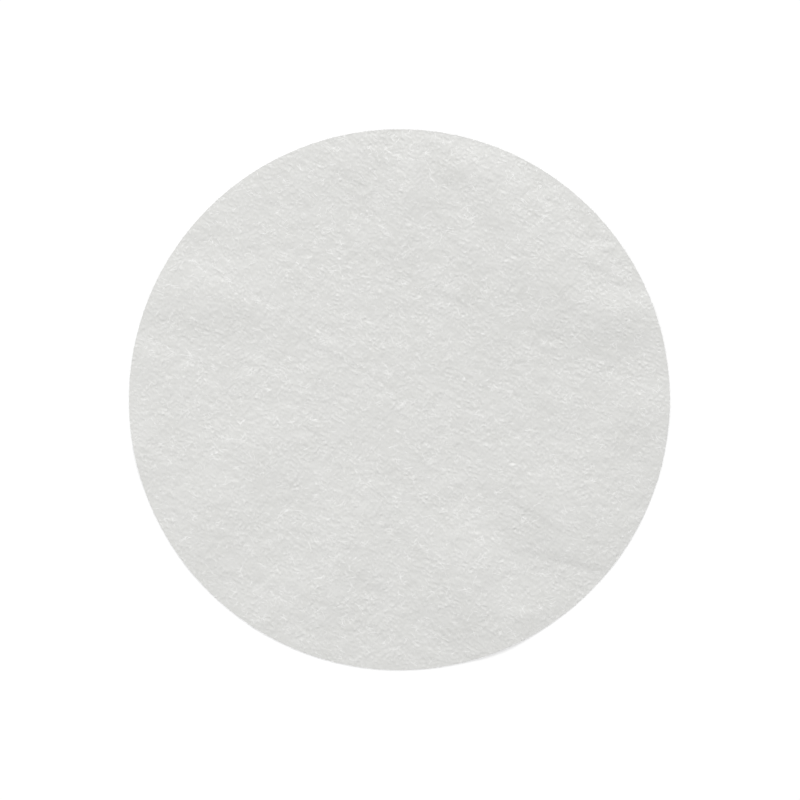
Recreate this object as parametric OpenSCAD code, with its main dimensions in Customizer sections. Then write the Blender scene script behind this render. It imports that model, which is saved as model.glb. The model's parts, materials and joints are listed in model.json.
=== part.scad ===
// Filter paper disc: one round of unsized cellulose filter paper, punched from a soft sheet.
// It lies on the bench as such a sheet does: flat, with a few shallow cockles that lift off the bench.
// The underside of its flat parts is the plane Z = 0, and the origin is the centre of the disc there.

/* [Disc] */
// Diameter that the die cuts
disc_d = 90; // [40:1:150]
// Thickness of the sheet
sheet_t = 0.18; // [0.12:0.01:0.40]

/* [Cut edge] */
// How far the die presses the top face down at the cut
edge_press = 0.05; // [0:0.01:0.10]
// Width of the pressed rim
edge_w = 0.8; // [0.2:0.1:1.2]

/* [Cockles] */
// Height of the tallest single cockle; where two meet, the sheet stands higher
cockle_h = 0.42; // [0:0.02:0.60]
// Width of the widest cockle, from foot to foot
cockle_w = 16; // [8:1:30]
// Length of the longest cockle, from foot to foot
cockle_l = 34; // [16:1:60]

/* [Facets] */
// Rings of facets from the centre to the pressed rim
rings = 28; // [12:1:29]

/* [Hidden] */

paper_white = "#DDDDDB";
disc_r = disc_d / 2;
flat_r = disc_r - edge_w;
ring_step = flat_r / rings;
// The facets of a ring come in this many like sectors, one facet edge per ring number in each
sectors = 6;
rim_points = sectors * rings;

// Each cockle is a long low hump. Its place is polar, as an angle and a share of the disc's radius,
// its heading is the angle of its crest line, and the shares that follow are of cockle_l, cockle_w and
// cockle_h. The bow is how far its ends hang back from a straight crest, as a share of its width.
//   angle  radius  heading  length  width  height  bow
cockles = [
    [  21,  0.81,    -4,     1.00,   0.80,  1.00,  -0.10],  // right side, runs in from the rim
    [  30,  0.80,   -20,     0.80,   0.60,  0.95,   0.20],  // upper right
    [  37,  0.86,   -19,     0.80,   0.60,  0.60,   0.20],
    [  45,  0.71,   -53,     1.00,   1.00,  1.00,   0.30],
    [  47,  0.55,   -90,     0.80,   0.60,  1.00,   0.10],
    [  50,  0.87,   -44,     0.70,   0.60,  0.80,   0.30],
    [  65,  0.80,   -40,     0.80,   0.60,  1.00,   0.00],
    [  65,  0.61,   -80,     0.80,   0.60,  0.80,   0.30],
    [  70,  0.90,   -23,     0.75,   0.50,  0.95,   0.25],  // top rim
    [  89,  0.82,    79,     0.55,   0.60,  1.00,   0.00],
    [  89,  0.64,    80,     0.75,   0.60,  1.00,   0.30],
    [ 102,  0.89,    13,     0.95,   0.70,  0.35,   0.30],
    [ 152,  0.80,    -6,     1.00,   1.00,  0.95,  -0.15],  // left side, runs in from the rim
    [ 172,  0.92,   -32,     0.65,   0.50,  0.20,   0.30],  // ripples on the left rim
    [ 193,  0.99,    60,     0.70,   0.70,  0.55,  -0.30],
    [ 197,  0.54,    -7,     0.65,   0.95,  0.55,   0.30],  // lower left
    [ 211,  0.77,    68,     0.85,   1.00,  1.00,   0.30],
    [ 241,  0.87,    70,     0.45,   0.80,  0.40,  -0.30],  // bottom, in from the rim
    [ 252,  0.60,    75,     1.00,   1.00,  1.00,  -0.10],
    [ 286,  0.80,   -55,     1.00,   1.00,  1.00,  -0.30],  // the two sides of the trough, lower right
    [ 293,  0.71,   -47,     0.90,   0.95,  1.00,  -0.10],
    [ 296,  0.95,    51,     0.80,   0.60,  0.70,   0.30],
    [ 298,  0.63,   -70,     0.60,   0.60,  0.60,   0.30],
    [ 317,  0.81,   -17,     0.75,   0.40,  0.35,  -0.30],  // ripples on the right rim
    [ 323,  0.71,   -35,     1.00,   0.90,  1.00,  -0.30],
    [ 332,  0.79,   -30,     0.75,   0.60,  0.50,   0.05],
    [ 340,  0.82,    -4,     0.70,   0.75,  0.40,  -0.30],
    [ 356,  0.88,    25,     0.65,   0.85,  0.75,   0.30],
];

// A raised cosine: 1 at the middle, falling smoothly to 0 where u reaches 1 on either side
function hump(u) = abs(u) < 1 ? (1 + cos(180 * u)) / 2 : 0;

// How far one cockle lifts the sheet at the point p
function cockle_rise(c, p) =
    let (
        middle = disc_r * c[1] * [cos(c[0]), sin(c[0])],
        crest = [cos(c[2]), sin(c[2])],
        along = (p - middle) * crest / (cockle_l * c[3] / 2),
        off = (p - middle) * [-crest.y, crest.x],
        across = off / (cockle_w * c[4] / 2) + 2 * c[6] * along * along
    )
    cockle_h * c[5] * hump(along) * hump(across);

function total(list, i = 0) = i < len(list) ? list[i] + total(list, i + 1) : 0;

// How far the sheet is off the bench at the point p
function lift(p) = total([for (c = cockles) cockle_rise(c, p)]);

// The direction of point i on a ring of n points
function spoke(i, n) = [cos(360 * i / n), sin(360 * i / n)];
// The points of ring k lie evenly round it, and ring 0 is the centre alone
function ring_point(k, i) = k == 0 ? [0, 0] : k * ring_step * spoke(i, sectors * k);
plan = [
    for (k = [0 : rings]) for (i = [0 : max(sectors * k, 1) - 1]) ring_point(k, i),
    for (i = [0 : rim_points - 1]) disc_r * spoke(i, rim_points),
];
cut_start = len(plan) - rim_points;

// Index in plan of point i of ring k, where i may run on past the end of its ring
function at(k, i) = k == 0 ? 0 : 1 + sectors * k * (k - 1) / 2 + i % (sectors * k);
function at_cut(i) = cut_start + i % rim_points;

// Sector s of the band of facets between ring k - 1 and ring k, seen from above
function band(k, s) = [
    for (i = [0 : k - 1]) [at(k, s * k + i), at(k - 1, s * (k - 1) + i), at(k, s * k + i + 1)],
    if (k > 1) for (i = [0 : k - 2])
        [at(k, s * k + i + 1), at(k - 1, s * (k - 1) + i), at(k - 1, s * (k - 1) + i + 1)],
];

// All facets of one face of the sheet, out to the cut
face = [
    for (k = [1 : rings]) for (s = [0 : sectors - 1]) each band(k, s),
    for (i = [0 : rim_points - 1]) each [
        [at_cut(i), at(rings, i), at_cut(i + 1)],
        [at_cut(i + 1), at(rings, i), at(rings, i + 1)],
    ],
];
// The wall that the die leaves round the edge
wall = [
    for (i = [0 : rim_points - 1]) let (low = at_cut(i), next = at_cut(i + 1)) each [
        [low, low + len(plan), next + len(plan)],
        [low, next + len(plan), next],
    ],
];

function press(i) = i < cut_start ? 0 : edge_press;

module filter_paper() {
    color(paper_white)
    polyhedron(
        points = [
            for (p = plan) [p.x, p.y, lift(p)],
            for (i = [0 : len(plan) - 1]) [plan[i].x, plan[i].y, lift(plan[i]) + sheet_t - press(i)],
        ],
        faces = [
            for (f = face) [f[2], f[1], f[0]],
            for (f = face) [for (v = f) v + len(plan)],
            each wall,
        ]
    );
}

filter_paper();
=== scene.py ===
"""Filter paper disc: one round of soft, unsized cellulose paper, lying on a white bench.

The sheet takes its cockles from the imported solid. The script adds what only shows close up: the
relief of the wet-laid web, the single fibres, and the fuzz along the cut. Lengths in the mesh are
in metres.
"""
import json
import math

import bmesh
import bpy
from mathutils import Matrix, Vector

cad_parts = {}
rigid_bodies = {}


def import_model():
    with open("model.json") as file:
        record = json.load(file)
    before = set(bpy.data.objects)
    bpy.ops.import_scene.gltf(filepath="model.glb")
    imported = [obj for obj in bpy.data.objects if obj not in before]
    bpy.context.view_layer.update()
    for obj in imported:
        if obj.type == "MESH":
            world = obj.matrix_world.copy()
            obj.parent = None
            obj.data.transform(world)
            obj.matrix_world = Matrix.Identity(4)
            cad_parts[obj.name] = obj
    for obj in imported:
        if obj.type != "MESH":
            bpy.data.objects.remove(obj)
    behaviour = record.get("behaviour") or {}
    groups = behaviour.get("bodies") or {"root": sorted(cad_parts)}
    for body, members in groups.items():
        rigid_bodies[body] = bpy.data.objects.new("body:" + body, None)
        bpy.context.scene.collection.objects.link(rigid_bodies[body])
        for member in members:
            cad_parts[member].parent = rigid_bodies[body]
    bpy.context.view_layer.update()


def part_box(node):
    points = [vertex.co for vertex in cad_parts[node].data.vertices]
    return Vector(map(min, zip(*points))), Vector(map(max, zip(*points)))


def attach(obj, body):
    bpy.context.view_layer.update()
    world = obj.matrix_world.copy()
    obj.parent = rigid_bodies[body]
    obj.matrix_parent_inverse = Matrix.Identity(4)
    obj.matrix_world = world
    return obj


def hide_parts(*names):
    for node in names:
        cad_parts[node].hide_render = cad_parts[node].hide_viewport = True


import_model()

bl_info = {
    "name": "Filter Paper Disc",
    "version": (1, 0, 0),
    "blender": (4, 5, 0),
    "location": "3D View > Sidebar > Paper",
    "description": "Dresses a disc of filter paper with crepe, fibres and a cut edge",
    "category": "Add Mesh",
}

NODE = "filter_paper"
MM = 0.001

# Mesh of the sheet
WALL = 0.13 * MM  # height of the wall that the die leaves at the cut
FACE_FIRST, BACK_FIRST = 14, 12  # rings that are drawn out to circles, on the two faces
FACE_SOFTEN, BACK_SOFTEN = 60, 10  # passes that soften the solid's facets, on the two faces
INSIDE = 0.9995  # share of the radius where every point still meets the solid
BACK_INSET = 0.4 * MM  # width of the strip that joins the underside to the wall
START = 2 * MM  # how far off the bench each round starts, clear of the solid
SHARPEST = math.radians(50)  # edges that turn more than this stay sharp

# Relief of the sheet
WAVES = 1.4  # waves of relief to a patch of parallel ridges
GABOR_REACH = 3.0  # the texture's own ridges span a third of its range
TURN_CENTRE = (0.3, 0.2, 0)  # far off the disc, so that a turn also carries the pattern away
TURNS = {"billow": 0.9, "swell": 5.2, "crepe": 0.4, "floc": 1.3, "felt": 4.4, "dent": 2.6,
         "grain": 0.0, "lint": 2.1}  # one for each layer, so that no two show the same pattern
WIRE = (math.radians(57), math.radians(153))  # across the two sets of wires of the mould
WIRE_ORDER = 0.75  # how closely the ridges keep to the wires
WIRE_TURN = 0.7  # carries the wired ridges away from the free ones
FREE, WIRED = 0.82, 0.42  # shares of a height that lie free and that follow each set of wires
THIN, THICK = 0.35, 0.65  # levels of the noise that stand for thin and thick pulp
WEB_PATCH = (3.6 * MM, 0.6, 1.4)  # size of a patch, and its least and most share of the relief
GRAIN_PATCH = (3.2 * MM, 0.65, 1.35)  # the same for the fine grain
DENT_SHARE = 0.5  # depth of the dents in the underside, as a share of the crepe's
RIM_WIDTH, RIM_SHARE = 1.2 * MM, 0.35  # strip along the cut, and the relief left at its end
STRAY_WIDTH, STRAY_WAVE = 0.4 * MM, 1.1 * MM  # strip that strays with the cut, and size of a stray
STRAY_LEVEL = 0.62  # level of the noise on the true circle, so that the cut strays mostly inwards

# Fibres and fuzz
FIBRE_SEED, FUZZ_SEED = 7, 11
HEADING_SEED, LENGTH_SEED, TILT_SEED = 3, 5, 9
FIBRE_SPAN = (0.5, 1.25)  # shortest and longest fibre, as shares of the usual length
FIBRE_TIP = 0.05  # how far along its taper a fibre starts, so that its ends aren't needles
CUT_GAP = 0.1 * MM  # how far inside the cut the fibres are trimmed
DROP = 5 * MM  # height that a fibre is dropped from to find the sheet
ROOT = 0.3  # share of a fibre end that stays in the sheet
FUZZ_POINTS = 4
FUZZ_SWING = 1.2  # how far a fibre end may turn from straight outwards, in radians
FUZZ_TILT = (-0.35, 0.15)  # its least and most tilt, in radians
FUZZ_SPAN = (0.25, 1.0)  # shortest and longest end, as shares of the longest
FUZZ_TIP = 0.1  # width of its tip, as a share of its root's
FUZZ_FLATNESS = 0.6

# Stage
SENSOR, FRAME_PX = 36.0, 800
NUDGE = (0.6, -0.4)  # how far the camera stands off the disc's centre, in pixels of the photograph
BENCH = 8  # side of the bench
BENCH_GREY, BENCH_GLOW = 0.45, 0.60  # with the room's light they come to just over white
SOFTBOX_REACH, SOFTBOX_SIZE = 3.2, 1.5
FILL_ZENITH, FILL_AZIMUTH = math.radians(40), math.radians(180)
FILL_REACH, FILL_SIZE = 0.5, 0.2  # near and small, so that its light falls off across the disc
LAMP_LEVEL = 1.42  # brings a share of light up to the level that renders a colour as written

# The fine creases, by the middle of each in mm, the heading of its line in degrees, its length in
# mm and its share of the crease height. The sheet steps up across it, towards the top of the photo.
CREASES = (
    (-9.2, 6.6, 150, 24, 0.95),
    (22.4, -19.0, 147, 17, 1.00),
    (31.5, -27.8, 165, 14, 1.00),
    (27.6, -29.6, 157, 12, 0.60),
    (33.4, 21.4, 150, 15, 0.75),
    (9.2, 16.9, 157, 17, 0.65),
    (-12.8, -9.5, 150, 13, 0.60),
    (-5.3, -30.3, 150, 13, 0.60),
    (-37.7, 8.6, 150, 16, 0.50),
    (-0.1, -40.6, 150, 12, 0.50),
)


class PaperSheetSettings(bpy.types.PropertyGroup):
    """Sizes of the sheet and of its relief"""
    face_rings: bpy.props.IntProperty(
        name="Face rings", description="Rings of faces on the upper face, in fourteens",
        default=168)
    back_rings: bpy.props.IntProperty(
        name="Back rings", description="Rings of faces on the underside, in twelves", default=60)
    billow: bpy.props.FloatProperty(
        name="Billow height", description="Height of the broad waves that drying leaves",
        default=0.055 * MM, unit="LENGTH")
    billow_wave: bpy.props.FloatProperty(
        name="Billow wave", description="Distance from one broad wave to the next",
        default=10.0 * MM, unit="LENGTH")
    swell: bpy.props.FloatProperty(
        name="Swell height", description="Height of the waves between billow and crepe",
        default=0.041 * MM, unit="LENGTH")
    swell_wave: bpy.props.FloatProperty(
        name="Swell wave", description="Distance from one swell to the next",
        default=4.8 * MM, unit="LENGTH")
    crepe: bpy.props.FloatProperty(
        name="Crepe height", description="Height of the crepe waves, from trough to crest",
        default=0.037 * MM, unit="LENGTH")
    crepe_wave: bpy.props.FloatProperty(
        name="Crepe wave", description="Distance from one crepe wave to the next",
        default=2.7 * MM, unit="LENGTH")
    floc: bpy.props.FloatProperty(
        name="Floc height", description="Height of the clumps of fibre",
        default=0.0295 * MM, unit="LENGTH")
    floc_wave: bpy.props.FloatProperty(
        name="Floc wave", description="Distance from one clump to the next",
        default=1.85 * MM, unit="LENGTH")
    felt: bpy.props.FloatProperty(
        name="Felt height", description="Height of the bundles of fibre",
        default=0.041 * MM, unit="LENGTH")
    felt_wave: bpy.props.FloatProperty(
        name="Felt wave", description="Distance from one bundle to the next",
        default=1.1 * MM, unit="LENGTH")
    crease: bpy.props.FloatProperty(
        name="Crease height", description="Height of the step across the deepest of the creases",
        default=0.11 * MM, unit="LENGTH")
    crease_width: bpy.props.FloatProperty(
        name="Crease width", description="Distance from the middle of that step to its edge",
        default=0.75 * MM, unit="LENGTH")
    cut_stray: bpy.props.FloatProperty(
        name="Cut stray", description="How far the cut strays from a true circle",
        default=0.03 * MM, unit="LENGTH")


class PaperGrainSettings(bpy.types.PropertyGroup):
    """The fine grain, too small for the mesh"""
    grain: bpy.props.FloatProperty(
        name="Grain height", description="Height of the fine ridges",
        default=0.0265 * MM, unit="LENGTH")
    grain_wave: bpy.props.FloatProperty(
        name="Grain wave", description="Distance from one fine ridge to the next",
        default=0.79 * MM, unit="LENGTH")
    # Painted highlight: the crests of the fine ridges are whitened by their height alone, so they
    # read lit and the hollows between them read shaded.
    crest_highlight: bpy.props.FloatProperty(
        name="Crest", description="How far the crests of the fine ridges are whitened",
        default=0.25)
    crest_highlight_low: bpy.props.FloatProperty(
        name="Crest start", description="Share of the grain height where the whitening starts",
        default=0.3)
    crest_highlight_high: bpy.props.FloatProperty(
        name="Crest full", description="Share of the grain height where the whitening is full",
        default=0.8)
    lint: bpy.props.FloatProperty(
        name="Lint height", description="Height of the finest ridges",
        default=0.0055 * MM, unit="LENGTH")
    lint_wave: bpy.props.FloatProperty(
        name="Lint wave", description="Distance from one of the finest ridges to the next",
        default=0.5 * MM, unit="LENGTH")


class PaperFibreSettings(bpy.types.PropertyGroup):
    """The fibres that show singly"""
    fibres: bpy.props.IntProperty(
        name="Fibres", description="Fibres on the upper face", default=7400)
    back_fibres: bpy.props.IntProperty(
        name="Back fibres", description="Fibres on the underside", default=3600)
    fibre_length: bpy.props.FloatProperty(
        name="Length", description="Usual length of a fibre", default=1.7 * MM, unit="LENGTH")
    # Real fibres are 0.02 to 0.04 mm wide. They are drawn wider, because one pixel is 0.17 mm.
    fibre_width: bpy.props.FloatProperty(
        name="Width", description="Width of a fibre at its middle",
        default=0.06 * MM, unit="LENGTH")
    flatness: bpy.props.FloatProperty(
        name="Flatness", description="Height of a fibre as a share of a round one's", default=0.22)
    web: bpy.props.FloatProperty(
        name="Web direction", description="Way that the web ran, along which the fibres mostly lie",
        default=math.radians(172), subtype="ANGLE")
    stray: bpy.props.FloatProperty(
        name="Stray", description="How far a fibre may lie off that direction",
        default=math.radians(70), subtype="ANGLE")
    joints: bpy.props.IntProperty(
        name="Joints", description="Points along a fibre", default=5, min=3, max=9)
    bend: bpy.props.FloatProperty(
        name="Bend", description="How far a fibre bends in the plane",
        default=0.9 * MM, unit="LENGTH")
    bend_size: bpy.props.FloatProperty(
        name="Bend size", description="Distance from one bend to the next",
        default=1.2 * MM, unit="LENGTH")
    weave: bpy.props.FloatProperty(
        name="Weave", description="How far a fibre rises and sinks",
        default=0.012 * MM, unit="LENGTH")
    weave_size: bpy.props.FloatProperty(
        name="Weave size", description="Distance from one rise to the next",
        default=0.9 * MM, unit="LENGTH")
    fuzz: bpy.props.IntProperty(
        name="Fuzz", description="Fibre ends that stand out of the cut", default=2800)
    fuzz_length: bpy.props.FloatProperty(
        name="Fuzz length", description="Length of the longest of them",
        default=0.3 * MM, unit="LENGTH")
    fuzz_width: bpy.props.FloatProperty(
        name="Fuzz width", description="Width of one at its root",
        default=0.022 * MM, unit="LENGTH")


class PaperColourSettings(bpy.types.PropertyGroup):
    """Colours of the paper"""
    pit: bpy.props.StringProperty(
        name="Thin places", description="Hex colour where the pulp lies thin", default="#D8D8D5")
    dense: bpy.props.StringProperty(
        name="Dense places", description="Hex colour where the pulp lies thick", default="#E0E0DE")
    # Partly painted light: this near-white serves as the painted highlight on the crests of the
    # fine ridges and on the whiter places of the loose fibres, besides the fibres' own white.
    fibre: bpy.props.StringProperty(
        name="Fibre", description="Hex colour of the fibres that lie on top", default="#FAFAF9")


class PaperStageSettings(bpy.types.PropertyGroup):
    """Camera and light"""
    lens: bpy.props.FloatProperty(
        name="Lens", description="Focal length in millimetres", default=150.0)
    pixels_across: bpy.props.FloatProperty(
        name="Disc in frame", description="Width of the disc in an 800 pixel frame", default=540.5)
    room: bpy.props.FloatProperty(
        name="Room light", description="Strength of the even light from all round", default=0.553)
    softbox_share: bpy.props.FloatProperty(
        name="Softbox share", description="Share of the light that the softbox gives", default=0.33)
    softbox_zenith: bpy.props.FloatProperty(
        name="Softbox lean", description="Angle of the softbox from overhead",
        default=math.radians(45), subtype="ANGLE")
    softbox_azimuth: bpy.props.FloatProperty(
        name="Softbox direction",
        description="Direction of the softbox, counted from the right of the picture",
        default=math.radians(80), subtype="ANGLE")
    fill_share: bpy.props.FloatProperty(
        name="Fill share", description="Share of the light that the near lamp on the left gives",
        default=0.068)


def hex_linear(text):
    """Linear RGBA of an sRGB hex colour."""
    def channel(pair):
        c = int(pair, 16) / 255
        return c / 12.92 if c <= 0.04045 else ((c + 0.055) / 1.055) ** 2.4
    return tuple(channel(text[i:i + 2]) for i in (1, 3, 5)) + (1.0,)


def disc_radius():
    """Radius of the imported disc."""
    low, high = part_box(NODE)
    return (high[0] - low[0]) / 2


def make_active(obj):
    """Select one object alone, or none, because an operator acts on all that is selected."""
    for o in bpy.context.scene.objects:
        o.select_set(o == obj)
    bpy.context.view_layer.objects.active = obj


def apply_modifier(obj, kind, **settings):
    """Add a modifier, set it and apply it."""
    make_active(obj)
    bpy.ops.object.modifier_add(type=kind)
    mod = obj.modifiers[-1]
    for key, value in settings.items():
        setattr(mod, key, value)
    bpy.ops.object.modifier_apply(modifier=mod.name)


def select_open_edges():
    """Select the edges at the rim of a face, in edit mode, and nothing else."""
    bpy.ops.mesh.select_all(action="DESELECT")
    bpy.ops.mesh.select_non_manifold()


def add_node(tree, kind, inputs=None, **settings):
    """Add one node, set its properties, and give each named or numbered input a value or a link."""
    node = tree.nodes.new(kind)
    for key, value in settings.items():
        setattr(node, key, value)
    for key, value in (inputs or {}).items():
        socket = node.inputs[key]
        if isinstance(value, bpy.types.NodeSocket):
            tree.links.new(value, socket)
        else:
            socket.default_value = value
    return node


def calc(tree, op, *values):
    """The result of one sum of numbers or sockets."""
    return add_node(tree, "ShaderNodeMath", dict(enumerate(values)), operation=op).outputs[0]


def vector(tree, op, *values):
    """The result of one sum of vectors."""
    return add_node(tree, "ShaderNodeVectorMath", dict(enumerate(values)), operation=op).outputs[0]


def dot(tree, place, direction):
    """How far a place lies in one direction."""
    return add_node(tree, "ShaderNodeVectorMath", {0: place, 1: direction},
                    operation="DOT_PRODUCT").outputs["Value"]


def length(tree, place):
    """How far a place lies from the origin."""
    return add_node(tree, "ShaderNodeVectorMath", {0: place}, operation="LENGTH").outputs["Value"]


def upward(tree, height):
    """A vector that points straight up."""
    return add_node(tree, "ShaderNodeCombineXYZ", {"Z": height}).outputs[0]


def position(tree):
    """Where each point is."""
    return add_node(tree, "GeometryNodeInputPosition").outputs[0]


def facing_up(tree):
    """How far each face looks up, from 1 to -1."""
    normal = add_node(tree, "GeometryNodeInputNormal").outputs[0]
    return add_node(tree, "ShaderNodeSeparateXYZ", {0: normal}).outputs["Z"]


def random_between(tree, least, most, seed):
    """A number from this span for each point or instance."""
    return add_node(tree, "FunctionNodeRandomValue", {"Min": least, "Max": most, "Seed": seed},
                    data_type="FLOAT").outputs["Value"]


def total(tree, parts):
    """The sum of any number of sockets."""
    result = parts[0]
    for part in parts[1:]:
        result = calc(tree, "ADD", result, part)
    return result


def ridges(tree, place, wave, height, turn, across=0.0, order=0.0):
    """Relief of short parallel ridges in patches, up to half a height either way. With no order
    they have every heading, and with more they keep closer to one, given by the angle that their
    waves run across."""
    turned = add_node(tree, "ShaderNodeVectorRotate", {
        "Vector": place, "Center": TURN_CENTRE, "Angle": turn}, rotation_type="Z_AXIS")
    gabor = add_node(tree, "ShaderNodeTexGabor", {
        "Vector": turned.outputs[0], "Scale": 1 / (WAVES * wave), "Frequency": WAVES,
        "Anisotropy": order, "Orientation": across + turn}, gabor_type="2D")
    centred = calc(tree, "SUBTRACT", gabor.outputs["Value"], 0.5)
    return calc(tree, "MULTIPLY", centred, height * GABOR_REACH)


def laid_ridges(tree, place, wave, height, turn):
    """Ridges of every heading, and weaker ones along the wires that the wet sheet was laid on."""
    return total(tree, [ridges(tree, place, wave, FREE * height, turn)] + [
        ridges(tree, place, wave, WIRED * height, turn + WIRE_TURN + i, across, WIRE_ORDER)
        for i, across in enumerate(WIRE)])


def layer(tree, place, settings, name, kind):
    """One layer of the relief, of either kind of ridges, by its name among the settings."""
    wave, height = getattr(settings, name + "_wave"), getattr(settings, name)
    return kind(tree, place, wave, height, TURNS[name])


def patches(tree, place, size, least, most):
    """A factor that drifts from patch to patch, because a pulp never lies even."""
    cloud = add_node(tree, "ShaderNodeTexNoise", {
        "Vector": place, "Scale": 1 / size, "Detail": 1.0})
    return add_node(tree, "ShaderNodeMapRange", {
        "Value": cloud.outputs[0], "From Min": THIN, "From Max": THICK,
        "To Min": least, "To Max": most}).outputs[0]


def crease(tree, place, row, width, height):
    """A low step across one line, steep in the middle, that eases out to the sides and ends."""
    x, y, heading, reach, share = row
    run, side = math.cos(math.radians(heading)), math.sin(math.radians(heading))
    along = calc(tree, "SUBTRACT", dot(tree, place, (run, side, 0)), (x * run + y * side) * MM)
    along = calc(tree, "DIVIDE", along, reach * MM / 2)
    fade = calc(tree, "SUBTRACT", 1.0, calc(tree, "MULTIPLY", along, along))
    fade = calc(tree, "MAXIMUM", fade, 0.0)
    across = calc(tree, "SUBTRACT", dot(tree, place, (side, -run, 0)), (x * side - y * run) * MM)
    across = calc(tree, "DIVIDE", across, width)
    spread = calc(tree, "ADD", calc(tree, "MULTIPLY", across, across), 1.0)
    step = calc(tree, "DIVIDE", across, spread)
    return calc(tree, "MULTIPLY", calc(tree, "MULTIPLY", step, fade), share * height)


def new_material(name):
    """An empty material with Object coordinates."""
    mat = bpy.data.materials.new(name)
    mat.use_nodes = True
    mat.node_tree.nodes.clear()
    coords = add_node(mat.node_tree, "ShaderNodeTexCoord").outputs["Object"]
    return mat, mat.node_tree, coords


def paper_material(colours, grain):
    """Wet-laid cellulose filter paper: a felt of white fibres with no size or coating. It is matt
    with a silky gleam, because bundles of smooth fibre lie every way in the plane, and it clouds a
    little where the pulp lies thicker. Its grain is that of the bundles, 0.8 mm apart. The finest
    ridges stand for single fibres, drawn 0.5 mm apart, far coarser than real, to show at all."""
    mat, tree, coords = new_material("wet_laid_cellulose_paper")
    relief = total(tree, [layer(tree, coords, grain, "grain", laid_ridges),
                          layer(tree, coords, grain, "lint", ridges)])
    relief = calc(tree, "MULTIPLY", relief, patches(tree, coords, *GRAIN_PATCH))
    bump = add_node(tree, "ShaderNodeBump", {
        "Strength": 1.0, "Distance": 1.0, "Height": relief}).outputs[0]

    cloud = add_node(tree, "ShaderNodeTexNoise", {
        "Vector": coords, "Scale": 1 / (5.0 * MM), "Detail": 3.0}).outputs[0]
    colour = add_node(tree, "ShaderNodeMix", {
        "Factor": cloud, "A": hex_linear(colours.pit), "B": hex_linear(colours.dense)},
        data_type="RGBA").outputs["Result"]
    # Painted highlight and shade: the colour turns towards the fibre white where the fine relief
    # stands high, lighting the crests and leaving the hollows darker.
    crest_highlight = add_node(tree, "ShaderNodeMapRange", {
        "Value": relief, "From Min": grain.crest_highlight_low * grain.grain,
        "From Max": grain.crest_highlight_high * grain.grain, "To Max": grain.crest_highlight}).outputs[0]
    colour = add_node(tree, "ShaderNodeMix", {
        "Factor": crest_highlight, "A": colour, "B": hex_linear(colours.fibre)},
        data_type="RGBA").outputs["Result"]
    principled = add_node(tree, "ShaderNodeBsdfPrincipled", {
        "Base Color": colour, "Roughness": 0.48, "IOR": 1.5, "Specular IOR Level": 0.65,
        "Sheen Weight": 0.05, "Sheen Roughness": 0.6, "Normal": bump})
    add_node(tree, "ShaderNodeOutputMaterial", {"Surface": principled.outputs[0]})
    return mat


def fibre_material(colours):
    """Loose cellulose fibre: the same bleached pulp as the sheet and a little smoother, so that the
    fibres that lie across the light gleam. In places it is a shade whiter, partly as the fibre's
    own white and partly as a painted highlight that outweighs the small shadows of the fibres."""
    mat, tree, coords = new_material("bleached_cellulose_fibre")
    # Painted highlight: this noise picks the places where the fibres are whitened towards
    # near-white, standing in part for their glints.
    tone_and_painted_glint = add_node(tree, "ShaderNodeTexNoise", {"Vector": coords, "Scale": 1 / (1.5 * MM)})
    tone_and_painted_glint = add_node(tree, "ShaderNodeMapRange", {
        "Value": tone_and_painted_glint.outputs[0], "From Min": 0.48, "From Max": 0.60})
    colour = add_node(tree, "ShaderNodeMix", {
        "Factor": tone_and_painted_glint.outputs[0], "A": hex_linear(colours.dense), "B": hex_linear(colours.fibre)},
        data_type="RGBA")
    principled = add_node(tree, "ShaderNodeBsdfPrincipled", {
        "Base Color": colour.outputs["Result"], "Roughness": 0.45, "IOR": 1.53})
    add_node(tree, "ShaderNodeOutputMaterial", {"Surface": principled.outputs[0]})
    return mat


def seen_directly(tree):
    """1 for the rays that show a surface, also in a gloss or glass, and 0 for those that light."""
    path = add_node(tree, "ShaderNodeLightPath").outputs
    seen = calc(tree, "MAXIMUM", path["Is Camera Ray"], path["Is Glossy Ray"])
    return calc(tree, "MAXIMUM", seen, path["Is Transmission Ray"])


def bench_material():
    """White laminate bench: plain and evenly lit, so that it burns out to white, save for the
    contact shadow."""
    mat, tree, _ = new_material("white_laminate_bench")
    glow = calc(tree, "MULTIPLY", seen_directly(tree), BENCH_GLOW)
    matt = add_node(tree, "ShaderNodeBsdfDiffuse", {"Color": (BENCH_GREY,) * 3 + (1,)})
    glow = add_node(tree, "ShaderNodeEmission", {"Strength": glow})
    both = add_node(tree, "ShaderNodeAddShader", {0: matt.outputs[0], 1: glow.outputs[0]})
    add_node(tree, "ShaderNodeOutputMaterial", {"Surface": both.outputs[0]})
    return mat


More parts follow.
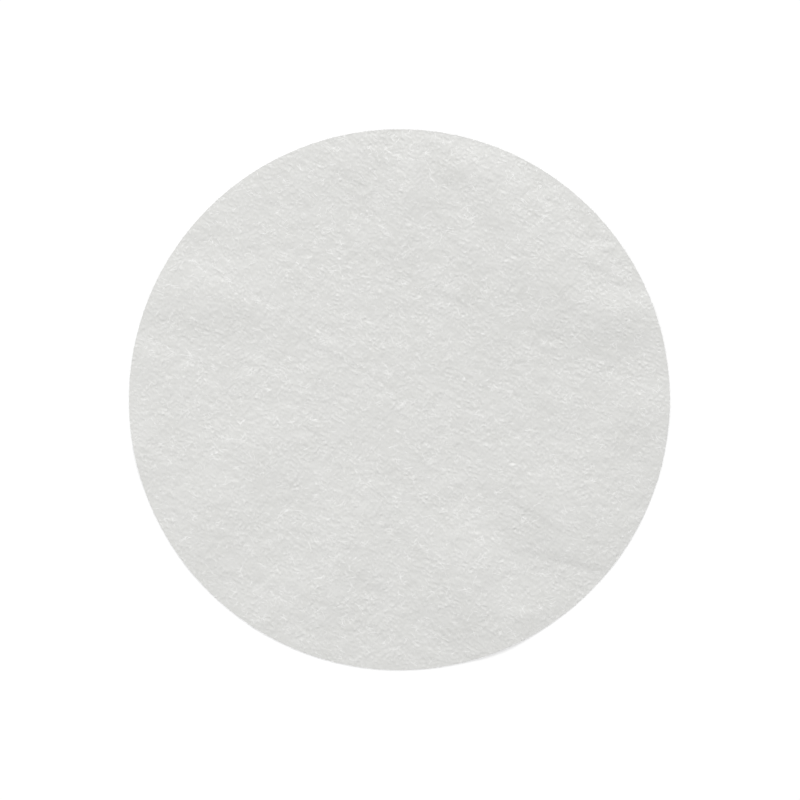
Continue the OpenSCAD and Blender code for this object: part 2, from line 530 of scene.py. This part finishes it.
def relief_group(s, radius):
    """Lift both faces by the broad waves and creases, lift the upper one by its fine relief and the
    underside by its dents, and let the cut stray. The relief fades at the cut, where the die has
    pressed the sheet."""
    group = bpy.data.node_groups.new("crepe_relief", "GeometryNodeTree")
    for way in ("INPUT", "OUTPUT"):
        group.interface.new_socket("Geometry", in_out=way, socket_type="NodeSocketGeometry")
    here = position(group)
    upper = calc(group, "GREATER_THAN", facing_up(group), 0.0)

    broad = total(group, [layer(group, here, s, name, ridges) for name in ("billow", "swell")]
                  + [crease(group, here, row, s.crease_width, s.crease) for row in CREASES])
    broad = calc(group, "ADD", broad, (s.billow + s.swell) / 2)
    broad = calc(group, "MAXIMUM", broad, 0.0)
    fine = total(group, [layer(group, here, s, name, laid_ridges)
                         for name in ("crepe", "floc", "felt")])
    fine = calc(group, "MULTIPLY", fine, patches(group, here, *WEB_PATCH))
    above = calc(group, "ADD", broad, fine)
    dents = calc(group, "ABSOLUTE", ridges(group, here, s.crepe_wave, s.crepe, TURNS["dent"]))
    below = calc(group, "ADD", broad, calc(group, "MULTIPLY", dents, DENT_SHARE))
    rise = add_node(group, "ShaderNodeMix", {"Factor": upper, "A": below, "B": above},
                    data_type="FLOAT").outputs[0]

    flat = vector(group, "MULTIPLY", here, (1, 1, 0))
    out = length(group, flat)
    fade = add_node(group, "ShaderNodeMapRange", {
        "Value": out, "From Min": radius - RIM_WIDTH, "From Max": radius,
        "To Min": 1.0, "To Max": RIM_SHARE}).outputs[0]
    rise = calc(group, "MULTIPLY", rise, fade)
    stray = add_node(group, "ShaderNodeTexNoise", {
        "Vector": here, "Scale": 1 / STRAY_WAVE, "Detail": 2.0}).outputs[0]
    stray = calc(group, "SUBTRACT", stray, STRAY_LEVEL)
    stray = calc(group, "MULTIPLY", stray, 2 * s.cut_stray / radius)
    rim = add_node(group, "ShaderNodeMapRange", {
        "Value": out, "From Min": radius - STRAY_WIDTH, "From Max": radius}).outputs[0]
    sideways = add_node(group, "ShaderNodeVectorMath", {
        0: flat, "Scale": calc(group, "MULTIPLY", stray, rim)}, operation="SCALE").outputs[0]
    start = add_node(group, "NodeGroupInput")
    shift = vector(group, "ADD", sideways, upward(group, rise))
    moved = add_node(group, "GeometryNodeSetPosition", {
        "Geometry": start.outputs[0], "Offset": shift})
    add_node(group, "NodeGroupOutput", {0: moved.outputs[0]})
    return group


def rings_of(sheet, count, step):
    """The points of each hexagonal ring, by number, where the flats of the rings lie step apart."""
    flats = [Vector((math.cos(a), math.sin(a))) for a in (math.radians(60 * i) for i in range(6))]
    rings = [[] for _ in range(count + 1)]
    for v in bmesh.from_edit_mesh(sheet.data).verts:
        rings[round(max(v.co.xy.dot(n) for n in flats) / step)].append(v.index)
    return rings[1:]


def pick(sheet, points):
    """Select the points with these numbers, and nothing else."""
    bm = bmesh.from_edit_mesh(sheet.data)
    bm.verts.ensure_lookup_table()
    for v in bm.verts:
        v.select_set(False)
    for i in points:
        bm.verts[i].select_set(True)
    bm.select_flush_mode()
    bmesh.update_edit_mesh(sheet.data)


def settle_order(sheet):
    """Put the faces of the wall in one order, in edit mode, because extruding leaves them in
    another each run and the fuzz is drawn face by face. They alone have four corners."""
    bm = bmesh.from_edit_mesh(sheet.data)
    bm.verts.index_update()
    bm.faces.index_update()
    wall = [f for f in bm.faces if len(f.verts) == 4]
    wall = sorted((sorted(v.index for v in f.verts), f.index) for f in wall)
    places = dict(zip((old for _, old in wall), sorted(old for _, old in wall)))
    bm.faces.sort(key=lambda f: places.get(f.index, f.index))
    bmesh.update_edit_mesh(sheet.data)


def even_round(name, radius, first, rings, height):
    """A flat round of near-even triangles. A hexagon is cut into the first rings, each is drawn out
    to a circle, and the faces are then cut again."""
    make_active(None)
    bpy.ops.mesh.primitive_circle_add(
        vertices=6, radius=radius, fill_type="TRIFAN", location=(0, 0, height))
    sheet = bpy.context.object
    sheet.name = sheet.data.name = name
    bpy.ops.object.transform_apply(location=True, rotation=True, scale=True)
    bpy.ops.object.mode_set(mode="EDIT")
    bpy.ops.mesh.select_all(action="SELECT")
    bpy.ops.mesh.subdivide(number_cuts=first - 1)
    for ring in rings_of(sheet, first, radius * math.cos(math.radians(30)) / first):
        pick(sheet, ring)
        bpy.ops.transform.tosphere(value=1.0)
    bpy.ops.mesh.select_all(action="SELECT")
    bpy.ops.mesh.subdivide(number_cuts=rings // first - 1)
    select_open_edges()
    bpy.ops.transform.tosphere(value=1.0)
    bpy.ops.object.mode_set(mode="OBJECT")
    reach = max(v.co.xy.length for v in sheet.data.vertices)
    widen(sheet, radius / reach)
    return sheet


def widen(sheet, factor):
    """Scale a sheet in its plane."""
    make_active(sheet)
    bpy.ops.transform.resize(value=(factor, factor, 1))
    bpy.ops.object.transform_apply(location=False, rotation=False, scale=True)


def lay_on(sheet, solid, soften):
    """Bring each point straight onto the solid, and soften the solid's facets."""
    apply_modifier(sheet, "SHRINKWRAP", target=solid, wrap_method="PROJECT", use_project_z=True,
                   use_positive_direction=True, use_negative_direction=True, use_project_x=False)
    apply_modifier(sheet, "SMOOTH", factor=0.5, iterations=soften,
                   use_x=False, use_y=False, use_z=True)


class PAPER_OT_sheet(bpy.types.Operator):
    """Make the sheet: two rounds of even faces, laid on the solid, joined at the cut and creped"""
    bl_idname = "paper.sheet"
    bl_label = "Sheet"

    def execute(self, context):
        s = context.scene.paper_sheet
        radius = disc_radius()
        solid = bpy.data.objects[NODE]
        sheet = even_round("paper_sheet", INSIDE * radius, FACE_FIRST, s.face_rings, START)
        lay_on(sheet, solid, FACE_SOFTEN)
        inset = INSIDE * radius - BACK_INSET
        back = even_round("paper_back", inset, BACK_FIRST, s.back_rings, -START)
        lay_on(back, solid, BACK_SOFTEN)
        bpy.ops.object.mode_set(mode="EDIT")
        bpy.ops.mesh.select_all(action="SELECT")
        bpy.ops.mesh.flip_normals()
        bpy.ops.object.mode_set(mode="OBJECT")

        make_active(sheet)
        bpy.ops.object.mode_set(mode="EDIT")
        select_open_edges()
        bpy.ops.mesh.extrude_region_move(TRANSFORM_OT_translate={"value": (0, 0, -WALL)})
        bpy.ops.object.mode_set(mode="OBJECT")
        back.select_set(True)
        bpy.ops.object.join()
        bpy.ops.object.mode_set(mode="EDIT")
        select_open_edges()
        bpy.ops.mesh.bridge_edge_loops()
        bpy.ops.mesh.select_all(action="SELECT")
        bpy.ops.mesh.normals_make_consistent(inside=False)
        settle_order(sheet)
        bpy.ops.object.mode_set(mode="OBJECT")
        widen(sheet, 1 / INSIDE)

        apply_modifier(sheet, "NODES", node_group=relief_group(s, radius))
        bpy.ops.object.shade_smooth_by_angle(angle=SHARPEST)
        paper = paper_material(context.scene.paper_colours, context.scene.paper_grain)
        sheet.data.materials.clear()
        sheet.data.materials.append(paper)
        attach(sheet, "root")
        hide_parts(NODE)
        return {"FINISHED"}


def strand_mesh(group, strand, width, flatness):
    """End a group with a mesh along each strand, three-sided and lying on its flat."""
    upright = add_node(group, "GeometryNodeSetCurveNormal", {0: strand}, mode="Z_UP")
    ring = add_node(group, "GeometryNodeCurvePrimitiveCircle", {
        "Resolution": 3, "Radius": width / math.sqrt(3)})
    flat = add_node(group, "GeometryNodeTransform", {
        "Geometry": ring.outputs[0], "Scale": (1, flatness, 1)})
    mesh = add_node(group, "GeometryNodeCurveToMesh", {
        "Curve": upright.outputs[0], "Profile Curve": flat.outputs[0], "Fill Caps": True})
    add_node(group, "NodeGroupOutput", {0: mesh.outputs[0]})


def strand_group(name, sheet):
    """A new group that makes geometry, with the finished sheet as its base."""
    group = bpy.data.node_groups.new(name, "GeometryNodeTree")
    group.interface.new_socket("Geometry", in_out="OUTPUT", socket_type="NodeSocketGeometry")
    base = add_node(group, "GeometryNodeObjectInfo", {"Object": sheet}).outputs["Geometry"]
    return group, base


def strand(group, start, end, points):
    """A straight strand along X, from start to end."""
    line = add_node(group, "GeometryNodeCurvePrimitiveLine", {
        "Start": (start, 0, 0), "End": (end, 0, 0)})
    return add_node(group, "GeometryNodeResampleCurve", {
        "Curve": line.outputs[0], "Count": points}).outputs[0]


def strew(group, seats, piece, rotation, span):
    """Put a strand on each seat, turned and at a length from this span."""
    laid = add_node(group, "GeometryNodeInstanceOnPoints", {
        "Points": seats.outputs["Points"], "Instance": piece, "Rotation": rotation,
        "Scale": random_between(group, *span, LENGTH_SEED)})
    return add_node(group, "GeometryNodeRealizeInstances", {0: laid.outputs[0]}).outputs[0]


def noise_shift(group, place, size, reach):
    """A smooth random shift of each place, up to half the reach either way."""
    noise = add_node(group, "ShaderNodeTexNoise", {
        "Vector": place, "Scale": 1 / size, "Detail": 1.0})
    centred = vector(group, "SUBTRACT", noise.outputs["Color"], (0.5, 0.5, 0.5))
    return vector(group, "MULTIPLY", centred, reach)


def fibre_group(s, sheet, radius, count, way):
    """Strew short fibres over one face, the upper where way is 1 and the lower where it is -1. Each
    follows the face, bends a little in the plane, weaves just over and under it, and narrows to its
    ends. The cut trims those that cross it, and none reaches below the bench."""
    group, base = strand_group("lie_of_fibres", sheet)
    face = calc(group, "GREATER_THAN", calc(group, "MULTIPLY", facing_up(group), way), 0.5)
    seats = add_node(group, "GeometryNodeDistributePointsOnFaces", {
        "Mesh": base, "Selection": face, "Density": count / (math.pi * radius ** 2),
        "Seed": FIBRE_SEED})
    turn = upward(group, random_between(group, s.web - s.stray, s.web + s.stray, HEADING_SEED))
    piece = strand(group, -s.fibre_length / 2, s.fibre_length / 2, s.joints)
    laid = strew(group, seats, piece, turn, FIBRE_SPAN)

    here = position(group)
    bent = add_node(group, "GeometryNodeSetPosition", {
        "Geometry": laid, "Offset": noise_shift(group, here, s.bend_size, (s.bend, s.bend, 0))})
    out = length(group, vector(group, "MULTIPLY", here, (1, 1, 0)))
    beyond = calc(group, "GREATER_THAN", out, radius - CUT_GAP)
    trimmed = add_node(group, "GeometryNodeDeleteGeometry", {
        "Geometry": bent.outputs[0], "Selection": beyond}, domain="POINT")

    hit = add_node(group, "GeometryNodeRaycast", {
        "Target Geometry": base, "Source Position": vector(group, "ADD", here, (0, 0, way * DROP)),
        "Ray Direction": (0, 0, -way), "Ray Length": 2 * DROP})
    weave = add_node(group, "ShaderNodeTexNoise", {
        "Vector": here, "Scale": 1 / s.weave_size, "Detail": 0.0}).outputs[0]
    weave = calc(group, "MULTIPLY", calc(group, "SUBTRACT", weave, 0.5), 2 * s.weave)
    seat = vector(group, "ADD", hit.outputs["Hit Position"], upward(group, weave))
    lowest = s.flatness * s.fibre_width / math.sqrt(3)
    seat = vector(group, "MAXIMUM", seat, (-radius, -radius, lowest))
    seated = add_node(group, "GeometryNodeSetPosition", {
        "Geometry": trimmed.outputs[0], "Position": seat})

    along = add_node(group, "GeometryNodeSplineParameter").outputs["Factor"]
    along = calc(group, "ADD", calc(group, "MULTIPLY", along, 1 - 2 * FIBRE_TIP), FIBRE_TIP)
    taper = calc(group, "SINE", calc(group, "MULTIPLY", along, math.pi))
    taper = add_node(group, "GeometryNodeSetCurveRadius", {
        "Curve": seated.outputs[0], "Radius": calc(group, "POWER", taper, 0.5)})
    strand_mesh(group, taper.outputs[0], s.fibre_width, s.flatness)
    return group


def fuzz_group(s, sheet, radius):
    """Stand the cut ends of fibres out of the edge, each at its own slant, bent and narrowing."""
    group, base = strand_group("fuzz_of_cut", sheet)
    wall = calc(group, "LESS_THAN", calc(group, "ABSOLUTE", facing_up(group)), 0.5)
    area = 2 * math.pi * radius * WALL
    seats = add_node(group, "GeometryNodeDistributePointsOnFaces", {
        "Mesh": base, "Selection": wall, "Density": s.fuzz / area, "Seed": FUZZ_SEED})
    spot = add_node(group, "ShaderNodeSeparateXYZ", {0: position(group)}).outputs
    heading = calc(group, "ADD", calc(group, "ARCTAN2", spot["Y"], spot["X"]),
                   random_between(group, -FUZZ_SWING, FUZZ_SWING, HEADING_SEED))
    turn = add_node(group, "ShaderNodeCombineXYZ", {
        "Y": random_between(group, *FUZZ_TILT, TILT_SEED), "Z": heading})
    piece = strand(group, -ROOT * s.fuzz_length, (1 - ROOT) * s.fuzz_length, FUZZ_POINTS)
    laid = strew(group, seats, piece, turn.outputs[0], FUZZ_SPAN)

    here = position(group)
    bend = noise_shift(group, here, s.fuzz_length,
                       (s.fuzz_length, s.fuzz_length, 0.3 * s.fuzz_length))
    place = vector(group, "MAXIMUM", vector(group, "ADD", here, bend), (-1, -1, s.fuzz_width / 2))
    bent = add_node(group, "GeometryNodeSetPosition", {"Geometry": laid, "Position": place})
    along = add_node(group, "GeometryNodeSplineParameter").outputs["Factor"]
    taper = add_node(group, "GeometryNodeSetCurveRadius", {
        "Curve": bent.outputs[0], "Radius": calc(group, "SUBTRACT", 1 + FUZZ_TIP, along)})
    strand_mesh(group, taper.outputs[0], s.fuzz_width, FUZZ_FLATNESS)
    return group


def grow(name, group, colours):
    """Make one piece of fibres out of a group of nodes. The plane it starts from isn't kept."""
    make_active(None)
    bpy.ops.mesh.primitive_plane_add(size=MM, location=(0, 0, 0))
    fibres = bpy.context.object
    fibres.name = fibres.data.name = name
    apply_modifier(fibres, "NODES", node_group=group)
    if not fibres.data.polygons:
        raise RuntimeError(name + " came out empty")
    bpy.ops.object.shade_flat()
    fibres.data.materials.clear()
    fibres.data.materials.append(fibre_material(colours))
    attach(fibres, "root")


class PAPER_OT_fibres(bpy.types.Operator):
    """Lay the fibres that show singly on the upper face and on the underside, as one piece each"""
    bl_idname = "paper.fibres"
    bl_label = "Surface fibres"

    def execute(self, context):
        s = context.scene.paper_fibres
        sheet, radius = bpy.data.objects["paper_sheet"], disc_radius()
        for name, count, way in (("surface_fibres", s.fibres, 1),
                                 ("underside_fibres", s.back_fibres, -1)):
            grow(name, fibre_group(s, sheet, radius, count, way), context.scene.paper_colours)
        return {"FINISHED"}


class PAPER_OT_fuzz(bpy.types.Operator):
    """Stand the fuzz of fibre ends out of the cut"""
    bl_idname = "paper.fuzz"
    bl_label = "Fuzz along the cut"

    def execute(self, context):
        sheet = bpy.data.objects["paper_sheet"]
        group = fuzz_group(context.scene.paper_fibres, sheet, disc_radius())
        grow("cut_fuzz", group, context.scene.paper_colours)
        return {"FINISHED"}


def soft_lamp(name, zenith, azimuth, reach, size, share):
    """A square lamp that faces the disc and gives it this share of its light."""
    aim = Vector((math.sin(zenith) * math.cos(azimuth), math.sin(zenith) * math.sin(azimuth),
                  math.cos(zenith)))
    bpy.ops.object.light_add(type="AREA", location=aim * reach)
    lamp = bpy.context.object
    lamp.name = name
    lamp.rotation_euler = aim.to_track_quat("Z", "Y").to_euler()
    lamp.data.shape = "SQUARE"
    lamp.data.size = size
    lamp.data.energy = LAMP_LEVEL * share * math.pi ** 2 * reach ** 2 / aim.z


class PAPER_OT_stage(bpy.types.Operator):
    """Set the bench, the soft light and the camera straight above the disc"""
    bl_idname = "paper.stage"
    bl_label = "Stage"

    def execute(self, context):
        s = context.scene.paper_stage
        make_active(None)
        bpy.ops.mesh.primitive_plane_add(size=BENCH, location=(0, 0, 0))
        bench = bpy.context.object
        bench.name = "bench"
        bench.data.materials.append(bench_material())

        across = 2 * disc_radius()
        distance = across * s.lens / SENSOR * FRAME_PX / s.pixels_across
        per_px = across / s.pixels_across
        bpy.ops.object.camera_add(
            location=(NUDGE[0] * per_px, NUDGE[1] * per_px, distance), rotation=(0, 0, 0))
        camera = bpy.context.object
        camera.data.lens = s.lens
        camera.data.sensor_width = SENSOR
        camera.data.clip_start = 0.01
        camera.data.clip_end = 50
        context.scene.camera = camera

        soft_lamp("softbox", s.softbox_zenith, s.softbox_azimuth, SOFTBOX_REACH, SOFTBOX_SIZE,
                  s.softbox_share)
        soft_lamp("fill_lamp", FILL_ZENITH, FILL_AZIMUTH, FILL_REACH, FILL_SIZE, s.fill_share)

        world = bpy.data.worlds.new("soft_room")
        context.scene.world = world
        world.use_nodes = True
        tree = world.node_tree
        tree.nodes.clear()
        level = add_node(tree, "ShaderNodeMapRange", {
            0: seen_directly(tree), "To Min": s.room, "To Max": 1.0})
        sky = add_node(tree, "ShaderNodeBackground", {"Strength": level.outputs[0]})
        add_node(tree, "ShaderNodeOutputWorld", {"Surface": sky.outputs[0]})
        context.scene.view_settings.view_transform = "Standard"
        return {"FINISHED"}


class PAPER_PT_panel(bpy.types.Panel):
    """Lists the operators that make the pieces and the stage"""
    bl_idname = "PAPER_PT_panel"
    bl_label = "Filter paper disc"
    bl_space_type = "VIEW_3D"
    bl_region_type = "UI"
    bl_category = "Paper"

    def draw(self, context):
        for operator in OPERATORS:
            self.layout.operator(operator.bl_idname)


SETTINGS = {"paper_sheet": PaperSheetSettings, "paper_grain": PaperGrainSettings,
            "paper_fibres": PaperFibreSettings, "paper_colours": PaperColourSettings,
            "paper_stage": PaperStageSettings}
OPERATORS = (PAPER_OT_sheet, PAPER_OT_fibres, PAPER_OT_fuzz, PAPER_OT_stage)


def register():
    for cls in (*SETTINGS.values(), *OPERATORS, PAPER_PT_panel):
        bpy.utils.register_class(cls)
    for name, cls in SETTINGS.items():
        setattr(bpy.types.Scene, name, bpy.props.PointerProperty(type=cls))


def unregister():
    for name in SETTINGS:
        delattr(bpy.types.Scene, name)
    for cls in (PAPER_PT_panel, *reversed(OPERATORS), *SETTINGS.values()):
        bpy.utils.unregister_class(cls)


def main():
    register()
    bpy.ops.paper.sheet()
    bpy.ops.paper.fibres()
    bpy.ops.paper.fuzz()
    bpy.ops.paper.stage()


if __name__ == "__main__":
    main()
